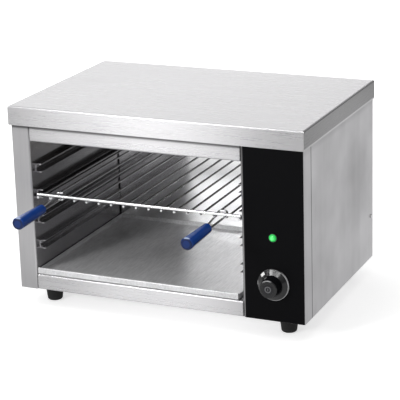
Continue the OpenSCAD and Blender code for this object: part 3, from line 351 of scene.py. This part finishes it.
def chrome(name):
    """Chromed wire, bright in front of the opening and darker behind the front rod, partly heat
    stain, partly painted shade of the cavity
    """
    g = Graph(name)
    at, _ = g.millimetres()
    mottle = g.noise(at, scale=0.25, detail=3.0, roughness=0.6)
    fine = g.noise(at, scale=2.2)
    # darker behind the front rod: partly heat stain, partly painted shade of the cavity
    inside = g.ramp(g.axis(at, "Y"), RACK_FRONT, RACK_FRONT + DARKENED_FROM)
    colour = g.mix(inside, (0.76, 0.76, 0.77), (0.50, 0.50, 0.51))
    return g.principled(
        Base_Color=g.shade(colour, g.sway(1.0, (mottle, 0.10))), Metallic=1.0,
        Roughness=g.sway(0.22, (mottle, 0.08), (fine, 0.03)),
        Normal=g.bump(fine, distance=0.00003, strength=0.3))


def plated(name, base, other, rough):
    """Plated or turned small parts: two tones that run into each other, dulled in places"""
    g = Graph(name)
    at, _ = g.millimetres()
    patch = g.noise(at, scale=0.12, detail=4.0, roughness=0.6)
    fine = g.noise(at, scale=0.8, detail=3.0, roughness=0.6)
    colour = g.mix(g.ramp(patch, 0.35, 0.65), base, other)
    return g.principled(
        Base_Color=g.shade(colour, g.sway(1.0, (fine, 0.14))), Metallic=1.0,
        Roughness=g.sway(rough, (patch, 0.14), (fine, 0.06)),
        Normal=g.bump(fine, distance=0.00004, strength=0.3))


def fibre(name):
    """Ceramic-fibre blanket: tangled short fibres and soft lumps"""
    g = Graph(name)
    at, _ = g.millimetres()
    tangle = g.noise(at, scale=0.9, detail=4.0, roughness=0.7, distortion=1.6)
    lump = g.noise(at, scale=0.06)
    return g.principled(
        Base_Color=g.shade((0.86, 0.85, 0.82), g.sway(0.95, (tangle, 0.22), (lump, 0.08))),
        Roughness=0.95,
        Normal=g.bump(g.sway(tangle, (lump, 1.2)), distance=0.0006, strength=0.7))


def oxidised(name):
    """Heating tube: dark scale, a little lighter and browner in patches"""
    g = Graph(name)
    at, _ = g.millimetres()
    scale = g.noise(at, scale=0.08, detail=4.0, roughness=0.65)
    fine = g.noise(at, scale=1.1, detail=3.0, roughness=0.6)
    colour = g.mix(g.ramp(scale, 0.35, 0.7), (0.11, 0.105, 0.10), (0.24, 0.20, 0.16))
    return g.principled(
        Base_Color=g.shade(colour, g.sway(1.0, (fine, 0.3))), Metallic=0.8,
        Roughness=g.sway(0.5, (scale, 0.2), (fine, 0.1)),
        Normal=g.bump(fine, distance=0.00005, strength=0.5))


# ---------------------------------------------------------------- mouldings

# In millimetres, where a feature of a finish begins and where it is full
GRIP_FACE = (1.0, 0.5)  # behind the grip's end
GRIP_RING = (5.6, 7.2)  # radii of the ring of painted shade in the end face
# GRIP_RIM up to GRIP_CROWN: where the painted highlights on the grip's rim and crown lie
GRIP_RIM = (8.8, 9.8)
GRIP_RIM_DEPTH = (3.2, 2.2)  # behind the grip's end
GRIP_RIM_TOP = (9.2, 10.4)  # above the grip's middle
GRIP_CROWN = (9.2, 11.4)
KNOB_RIM = (28.0, 28.5)  # radii of the skirt's rim
KNOB_RIM_DEPTH = (-4.2, -3.2)  # in front of the skirt's back
KNOB_EDGE = (14.6, 15.4)  # radii of the edge between the knob's face and its side
KNOB_EDGE_DEPTH = (2.4, 1.6)  # behind the knob's face
MARK_NEAR, MARK_FAR = (23.3, 23.7), (28.6, 28.3)  # from the knob's middle
MARK_SIDE = (4.4, 4.0)  # from the mark's own middle line

# Directions from the knob's middle, within the plane of the front
# where the painted highlights on the rim and the face's edge are strongest, and where the rim's
# light spot lies
RIM_HIGHLIGHT_SIDE = (0.90, 0.0, -0.44)
RIM_SPOT = (-0.998, 0.0, 0.06)
EDGE_HIGHLIGHT_SIDE = (-0.20, 0.0, 0.98)

DUST = (0.55, 0.54, 0.52)
# colours of the painted highlights on the grips and on the knob
HIGHLIGHT_BLUE = (0.50, 0.60, 0.80)
HIGHLIGHT_GREY = (0.50, 0.50, 0.51)
PRINT_WHITE = (0.92, 0.92, 0.91)

MOULDINGS = {
    "overlay_black": dict(base=(0.0035, 0.0035, 0.0042), rough=0.42, specular=0.05, pore=2.0,
                          relief=0.00001),
    "ceramic": dict(base=(0.80, 0.78, 0.73), rough=0.75, specular=0.4, pore=1.2, relief=0.00006),
    "knob_cap": dict(base=(0.016, 0.016, 0.018), rough=0.34, specular=0.3, pore=1.6,
                     relief=0.00002),
    "thermostat_white": dict(base=(0.78, 0.76, 0.71), rough=0.55, specular=0.4, pore=1.5,
                             relief=0.00003),
    "lamp_black": dict(base=(0.012, 0.012, 0.012), rough=0.30, specular=0.4, pore=1.8,
                       relief=0.00002),
    "gland_black": dict(base=(0.02, 0.02, 0.02), rough=0.50, specular=0.4, pore=1.6,
                        relief=0.00003, dust=0.05),
    "lead_black": dict(base=(0.018, 0.018, 0.018), rough=0.55, specular=0.35, pore=1.2,
                       relief=0.00003),
    "rubber_black": dict(base=(0.014, 0.014, 0.014), rough=0.72, specular=0.3, pore=0.9,
                         relief=0.00006, dust=0.10),
}
KNOB_MARK = dict(base=(0.16, 0.16, 0.17), rough=0.40, specular=0.4, pore=2.0, relief=0.00001)


def moulded(name, base, rough, specular, pore, relief, dust=0.0):
    """Moulded plastic, rubber or ceramic: eroded skin, slight changes of tone, dust on top"""
    g = Graph(name)
    at, normal = g.millimetres()
    tone = g.noise(at, scale=0.045, detail=3.0, roughness=0.55)
    skin = g.noise(at, scale=pore, roughness=0.6)
    top = g.ramp(g.axis(normal, "Z"), 0.35, 1.0)
    settled = g.both(top, g.ramp(g.noise(at, scale=0.3, detail=3.0), 0.4, 0.7, start=0.2))
    colour = g.shade(base, g.sway(1.0, (tone, 0.16), (skin, 0.10)))
    return g.principled(
        Base_Color=g.mix(g.both(settled, dust), colour, DUST), Specular_IOR_Level=specular,
        Roughness=g.sway(rough, (tone, 0.08), (skin, 0.06)),
        Normal=g.bump(skin, distance=relief, strength=0.5))


def grip_moulding(name, middles, end):
    """Blue grips: painted shade on the underside, on the end face and on a ring in it, and painted
    highlights on the rim and the crown

    middles are the middles of both grips, and end is the Y of their end faces.
    """
    g = Graph(name)
    at, normal = g.millimetres()
    tone = g.noise(at, scale=0.05, detail=3.0, roughness=0.55)
    skin = g.noise(at, scale=1.2, roughness=0.6)
    offsets = [g.around(at, middle) for middle in middles]
    radius = g.math("MINIMUM", *[g.vector("LENGTH", offset) for offset in offsets])
    height = g.axis(offsets[0], "Z")
    behind = g.math("SUBTRACT", g.axis(at, "Y"), end)
    face = g.ramp(behind, *GRIP_FACE)
    colour = g.shade((0.008, 0.052, 0.28), g.sway(1.0, (tone, 0.24), (skin, 0.10)))
    # painted shade on the underside, on a ring in the end face and over the whole end face
    colour = g.dim(colour, g.ramp(g.axis(normal, "Z"), 0.3, -0.8), share=0.35)
    colour = g.dim(colour, g.both(face, g.ramp(radius, *GRIP_RING)), share=0.50)
    colour = g.dim(colour, face, share=0.62)
    # painted highlights on the top of the rim and along the crown
    rim = g.both(g.ramp(radius, *GRIP_RIM), g.ramp(behind, *GRIP_RIM_DEPTH))
    painted_highlight = g.both(rim, g.ramp(height, *GRIP_RIM_TOP, end=0.8))
    crown_highlight = g.both(g.ramp(height, *GRIP_CROWN, end=0.34), g.ramp(tone, 0.35, 0.6, start=0.5))
    return g.principled(
        Base_Color=g.mix(g.math("MAXIMUM", painted_highlight, crown_highlight), colour, HIGHLIGHT_BLUE),
        Roughness=g.sway(0.24, (tone, 0.08), (skin, 0.06)), Specular_IOR_Level=0.25,
        Coat_Weight=0.15, Coat_Roughness=0.18, Normal=g.bump(skin, distance=0.00003, strength=0.5))


def printed_mark(g, at, middle, pointer):
    """Share of the white mark that is printed across the pointer, near the skirt's edge"""
    out = Vector((pointer.x - middle[0], 0.0, pointer.z - middle[2])).normalized()
    offset = g.vector("SUBTRACT", at, middle)
    along = g.vector("DOT_PRODUCT", offset, tuple(out))
    side = g.math("ABSOLUTE", g.vector("DOT_PRODUCT", offset, (out.z, 0.0, -out.x)))
    inside = g.both(g.ramp(along, *MARK_NEAR), g.ramp(along, *MARK_FAR))
    return g.both(inside, g.ramp(side, *MARK_SIDE))


def knob_moulding(name, middle, front, pointer):
    """Glossy black with the pointer's white mark, with painted highlights on the skirt's rim and
    the grip's edge, and a light spot on the rim

    middle is the middle of the skirt's back, front the Y of the knob's face, pointer its middle.
    """
    g = Graph(name)
    at, _ = g.millimetres()
    tone = g.noise(at, scale=0.06, detail=3.0, roughness=0.55)
    skin = g.noise(at, scale=1.6, roughness=0.6)
    offset = g.around(at, middle)
    radius = g.vector("LENGTH", offset)
    outward = g.vector("NORMALIZE", offset)
    forward = g.axis(at, "Y")
    on_skirt = g.ramp(g.math("SUBTRACT", forward, middle[1]), *KNOB_RIM_DEPTH)
    # painted highlight along the skirt's rim, strongest at its lower right, and a light spot at its
    # left
    rim_side = g.ramp(g.vector("DOT_PRODUCT", outward, RIM_HIGHLIGHT_SIDE), 0.0, 0.4, start=0.06)
    rim_spot = g.ramp(g.vector("DOT_PRODUCT", outward, RIM_SPOT), 0.985, 0.996)
    rim = g.both(g.ramp(radius, *KNOB_RIM), g.math("MAXIMUM", rim_side, rim_spot))
    rim_highlight_and_spot = g.both(g.both(rim, on_skirt), g.sway(0.9, (tone, 0.6)))
    # painted highlight on the top of the edge between the face and the side
    behind = g.math("SUBTRACT", forward, front)
    edge = g.both(g.ramp(radius, *KNOB_EDGE), g.ramp(behind, *KNOB_EDGE_DEPTH))
    edge_side = g.ramp(g.vector("DOT_PRODUCT", outward, EDGE_HIGHLIGHT_SIDE), 0.80, 0.97)
    painted_highlight = g.both(g.both(edge, edge_side), g.ramp(skin, 0.40, 0.60, start=0.3))
    colour = g.shade((0.005, 0.005, 0.006), g.sway(1.0, (tone, 0.2), (skin, 0.1)))
    colour = g.mix(g.math("MAXIMUM", rim_highlight_and_spot, painted_highlight), colour, HIGHLIGHT_GREY)
    return g.principled(
        Base_Color=g.mix(printed_mark(g, at, middle, pointer), colour, PRINT_WHITE),
        Roughness=g.sway(0.16, (tone, 0.06), (skin, 0.05)), Specular_IOR_Level=0.60,
        Normal=g.bump(skin, distance=0.00002, strength=0.4))


def pointer_inlay(name, middle, pointer):
    """The pointer, white under the printed mark and in the knob's black beside it"""
    g = Graph(name)
    at, _ = g.millimetres()
    skin = g.noise(at, scale=2.0, roughness=0.6)
    white = g.shade(PRINT_WHITE, g.sway(1.0, (skin, 0.08)))
    return g.principled(
        Base_Color=g.mix(printed_mark(g, at, middle, pointer), (0.006, 0.006, 0.007), white),
        Roughness=g.sway(0.40, (skin, 0.08)), Normal=g.bump(skin, distance=0.00002, strength=0.4))


def lamp_green(name, centre):
    """Green lens lit from behind: brightest in the middle, with the moulded prisms inside it"""
    g = Graph(name)
    at, _ = g.millimetres()
    away = g.vector("DISTANCE", at, centre)
    prism = g.add("TexVoronoi", Vector=at, Scale=0.55).outputs["Distance"]
    glow = g.ramp(away, 1.0, 8.0, start=0.85, end=0.22)
    return g.principled(
        Base_Color=g.shade((0.02, 0.45, 0.08), g.sway(1.0, (prism, 0.2))),
        Roughness=g.sway(0.12, (prism, 0.06)),
        Emission_Color=g.mix(g.ramp(away, 0.5, 6.5), (0.20, 1.0, 0.30), (0.0, 0.62, 0.08)),
        Emission_Strength=g.both(glow, g.sway(1.0, (prism, 0.25))))


def slot_finishes():
    """The finishes of every slot but the two of steel sheets"""
    lo, hi, middle = in_mm(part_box("knob"))
    knob_front = lo.y
    knob_middle = (middle.x, hi.y, middle.z)
    _, _, pointer = in_mm(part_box("knob_pointer"))
    lo, _, left_grip = in_mm(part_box("grip_left"))
    grip_end = lo.y
    _, _, right_grip = in_mm(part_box("grip_right"))
    lo, _, middle = in_mm(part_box("lamp_lens"))
    lens_front = (middle.x, lo.y, middle.z)
    by_slot = {name: moulded(name, **values) for name, values in MOULDINGS.items()}
    by_slot.update({
        "chrome_wire": chrome("chrome_wire"),
        "grip_blue": grip_moulding("grip_blue", (left_grip, right_grip), grip_end),
        "heater_tube": oxidised("heater_tube"),
        "bracket_steel": plated("bracket_steel", (0.62, 0.63, 0.65), (0.54, 0.53, 0.50),
                                rough=0.34),
        "brass": plated("brass", (0.72, 0.56, 0.27), (0.60, 0.44, 0.20), rough=0.30),
        "insulation": fibre("insulation"),
        "knob_black": knob_moulding("knob_black", knob_middle, knob_front, pointer),
        "pointer_white": pointer_inlay("pointer_white", knob_middle, pointer),
        "lens_green": lamp_green("lens_green", lens_front),
    })
    return by_slot


def dress():
    """Gives every CAD node its finish"""
    by_slot, by_node = sheet_finishes()
    by_slot.update(slot_finishes())
    for part in frame["record"]["subparts"]:
        materials = nodes[part["node"]].data.materials
        materials.clear()
        materials.append(by_node.get(part["node"], by_slot[part["material_slot"]]))


# ---------------------------------------------------------------- stage and light

WHITE = (1.0, 1.0, 1.0)

WORLD_ON_DULL = 0.45  # the studio's light on surfaces that don't mirror it
WORLD_MIRRORED = 0.47  # the studio as steel mirrors it
WORLD_RIGHT = 0.20  # its darker right-hand side, low down
RIGHT_FADE = (0.0, 0.6)  # how far to the right a direction points where that side begins
LOW_FADE = (0.15, 0.30)  # how far upward a direction points where that side ends

FLOOR_HALF = 9.0
FLOOR_DROP = 0.0002  # keeps the floor clear of the feet
FLOOR_COLOUR = (0.80, 0.80, 0.80)
FLOOR_IN_STEEL = 0.25  # share of that colour where steel mirrors it
FLOOR_MIRRORED = 0.55  # the floor's own glow as steel mirrors it
FLOOR_SHOWN = (0.55, 1.0)  # its glow for the camera, near the object and far from it
FLOOR_FADE = (600.0, 2200.0)  # millimetres between near and far

# The lane of light on the floor that the cabinet's front mirrors, in millimetres
LANE_START = (-57.0, -255.0, 0.0)
LANE_AHEAD, LANE_ACROSS = (-0.44, -0.898, 0.0), (0.898, -0.44, 0.0)
LANE_LENGTH = 1500.0
LANE_HALF_WIDTH = (130.0, 230.0)  # at its start and at its end
LANE_EDGE = (0.6, 1.35)  # shares of the half width between which it fades out
LANE_GLOW = (0.38, 0.0)
LANE_FADE = (300.0, 950.0)


def make_world():
    """White studio for the camera, a duller one with a dark lower right for steel to mirror"""
    g = Graph("studio", world=True)
    camera, mirrored = g.rays()
    strength = g.ramp(g.math("MAXIMUM", camera, mirrored), 0.0, 1.0, WORLD_ON_DULL, 1.0)
    direction = g.add("TexCoord").outputs["Generated"]
    studio = g.ramp(g.axis(direction, "X"), *RIGHT_FADE, WORLD_MIRRORED, WORLD_RIGHT)
    high = g.ramp(g.axis(direction, "Z"), *LOW_FADE, 0.0, WORLD_MIRRORED)
    in_steel = g.ramp(mirrored, 0.0, 1.0, 1.0, g.math("MAXIMUM", studio, high))
    light = g.add("Background", Color=WHITE, Strength=g.both(strength, in_steel))
    bpy.context.scene.world = g.finish(light)


def floor_white():
    """White floor with its own glow, and in mirrors with a brighter lane in front of the object"""
    g = Graph("floor_white")
    camera, mirrored = g.rays()
    at, _ = g.millimetres()
    shown = g.both(camera, g.ramp(g.vector("LENGTH", at), *FLOOR_FADE, *FLOOR_SHOWN))
    from_start = g.vector("SUBTRACT", at, LANE_START)
    across = g.math("ABSOLUTE", g.vector("DOT_PRODUCT", from_start, LANE_ACROSS))
    ahead = g.vector("DOT_PRODUCT", from_start, LANE_AHEAD)
    half_width = g.ramp(ahead, 0.0, LANE_LENGTH, *LANE_HALF_WIDTH)
    lane = g.ramp(g.math("DIVIDE", across, half_width), *LANE_EDGE, 1.0, 0.0)
    glow = g.math("MULTIPLY_ADD", lane, g.ramp(ahead, *LANE_FADE, *LANE_GLOW), FLOOR_MIRRORED)
    flat = g.add("BsdfDiffuse", Color=g.dim(FLOOR_COLOUR, mirrored, share=FLOOR_IN_STEEL))
    glowing = g.add("Emission", Color=WHITE, Strength=g.math("MULTIPLY_ADD", mirrored, glow, shown))
    sum_of_both = g.add("AddShader")
    g.put(sum_of_both.inputs[0], flat.outputs[0])
    g.put(sum_of_both.inputs[1], glowing.outputs[0])
    return g.finish(sum_of_both)


def make_floor():
    """The sheet under the object that its shadow falls on"""
    mesh = bpy.data.meshes.new("floor")
    corners = [(x * FLOOR_HALF, y * FLOOR_HALF, 0) for x, y in ((-1, -1), (1, -1), (1, 1), (-1, 1))]
    mesh.from_pydata(corners, [], [(0, 1, 2, 3)])
    mesh.materials.append(floor_white())
    floor = bpy.data.objects.new("floor", mesh)
    floor.location.z = -FLOOR_DROP
    bpy.context.scene.collection.objects.link(floor)


def area_light(name, at, target, size, watts, mirrored=True, diffuse=True):
    """A rectangular lamp at a point, turned to a target"""
    data = bpy.data.lights.new(name, "AREA")
    data.shape = "RECTANGLE"
    data.size, data.size_y = size
    data.energy = watts
    light = bpy.data.objects.new(name, data)
    light.location = at
    light.rotation_euler = (Vector(target) - Vector(at)).to_track_quat("-Z", "Y").to_euler()
    light.visible_glossy, light.visible_diffuse = mirrored, diffuse
    bpy.context.scene.collection.objects.link(light)


def make_lights():
    """The key shows in the lid's front, the strip on the knob; lamp and fill light the tray"""
    foot = (0.0, 0.0, 0.07)
    area_light("key", (-0.93, -2.0, 1.13), (-0.05, -0.1, 1.0), size=(0.66, 2.1), watts=9.4)
    area_light("lamp", (-0.845, -1.81, 0.87), foot, size=(0.25, 0.25), watts=2.0)
    area_light("fill", (-0.90, -1.93, 0.92), foot, size=(0.35, 0.35), watts=11.0, mirrored=False)
    area_light("strip", (-0.45, -1.78, 1.32), (0.1, -0.15, 0.12), size=(2.4, 0.16), watts=17.0,
               diffuse=False)
    area_light("overhead", (-0.3, -0.3, 2.6), (0.0, 0.0, 0.2), size=(2.6, 2.2), watts=22.0)
    area_light("behind", (-1.9, 2.7, 1.15), (0.0, 0.1, 0.3), size=(3.2, 1.7), watts=29.0)


# ---------------------------------------------------------------- the mark on the knob

SINK, RISE = 0.15 * MM, 0.35 * MM  # how far the mark reaches into the knob's face and out of it
RING_INNER, RING_OUTER, RING_EDGE = 4.3 * MM, 5.9 * MM, 0.2 * MM
RING_STEPS = 64
BAR_HALF, BAR_REACH, BAR_EDGE = 0.55 * MM, 1.9 * MM, 0.15 * MM
BAR_STEPS = 24


def new_piece(name, build, material, body):
    """A mesh piece made by build(bm), riding on a body, finished with the given material"""
    bm = bmesh.new()
    build(bm)
    bmesh.ops.recalc_face_normals(bm, faces=bm.faces)
    mesh = bpy.data.meshes.new(name)
    bm.to_mesh(mesh)
    bm.free()
    for face in mesh.polygons:
        face.use_smooth = True
    mesh.materials.append(material)
    piece = bpy.data.objects.new(name, mesh)
    bpy.context.scene.collection.objects.link(piece)
    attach(piece, body)


def knob_mark(material):
    """A plain ring with an upright bar in it, raised on the knob's face"""
    lo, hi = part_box("knob_cap")
    face = Vector(((lo.x + hi.x) / 2, lo.y, (lo.z + hi.z) / 2))

    def vert(bm, turn, radius, rise, up=0.0):
        """A vertex at an angle and a radius round the face's middle, or round a point above it"""
        offset = Vector((radius * math.cos(turn), -rise, up + radius * math.sin(turn)))
        return bm.verts.new(face + offset)

    def join(bm, a, b):
        """A closed band of faces between two rows of vertices"""
        for i in range(len(a)):
            k = (i + 1) % len(a)
            bm.faces.new((a[i], a[k], b[k], b[i]))

    def ring(bm):
        profile = [(RING_INNER, -SINK), (RING_OUTER, -SINK), (RING_OUTER, RISE - RING_EDGE),
                   (RING_OUTER - RING_EDGE, RISE), (RING_INNER + RING_EDGE, RISE),
                   (RING_INNER, RISE - RING_EDGE)]
        turns = [2 * math.pi * i / RING_STEPS for i in range(RING_STEPS)]
        rows = [[vert(bm, turn, *point) for point in profile] for turn in turns]
        for a, b in zip(rows, rows[1:] + rows[:1]):
            join(bm, a, b)

    def bar(bm):
        turns = [2 * math.pi * i / BAR_STEPS for i in range(BAR_STEPS)]
        ends = [BAR_REACH if math.sin(turn) >= 0 else -BAR_REACH for turn in turns]
        levels = ((-SINK, 0.0), (RISE - BAR_EDGE, 0.0), (RISE, BAR_EDGE))
        rows = [[vert(bm, turn, BAR_HALF - inset, rise, end) for turn, end in zip(turns, ends)]
                for rise, inset in levels]
        for a, b in zip(rows, rows[1:]):
            join(bm, a, b)
        bm.faces.new(rows[0])
        bm.faces.new(rows[-1])

    new_piece("knob_ring", ring, material, "knob")
    new_piece("knob_bar", bar, material, "knob")


def finish_scene():
    scene = bpy.context.scene
    scene.view_settings.view_transform = "Standard"


make_camera()
make_world()
make_floor()
make_lights()
dress()
knob_mark(moulded("knob_mark_grey", **KNOB_MARK))
finish_scene()
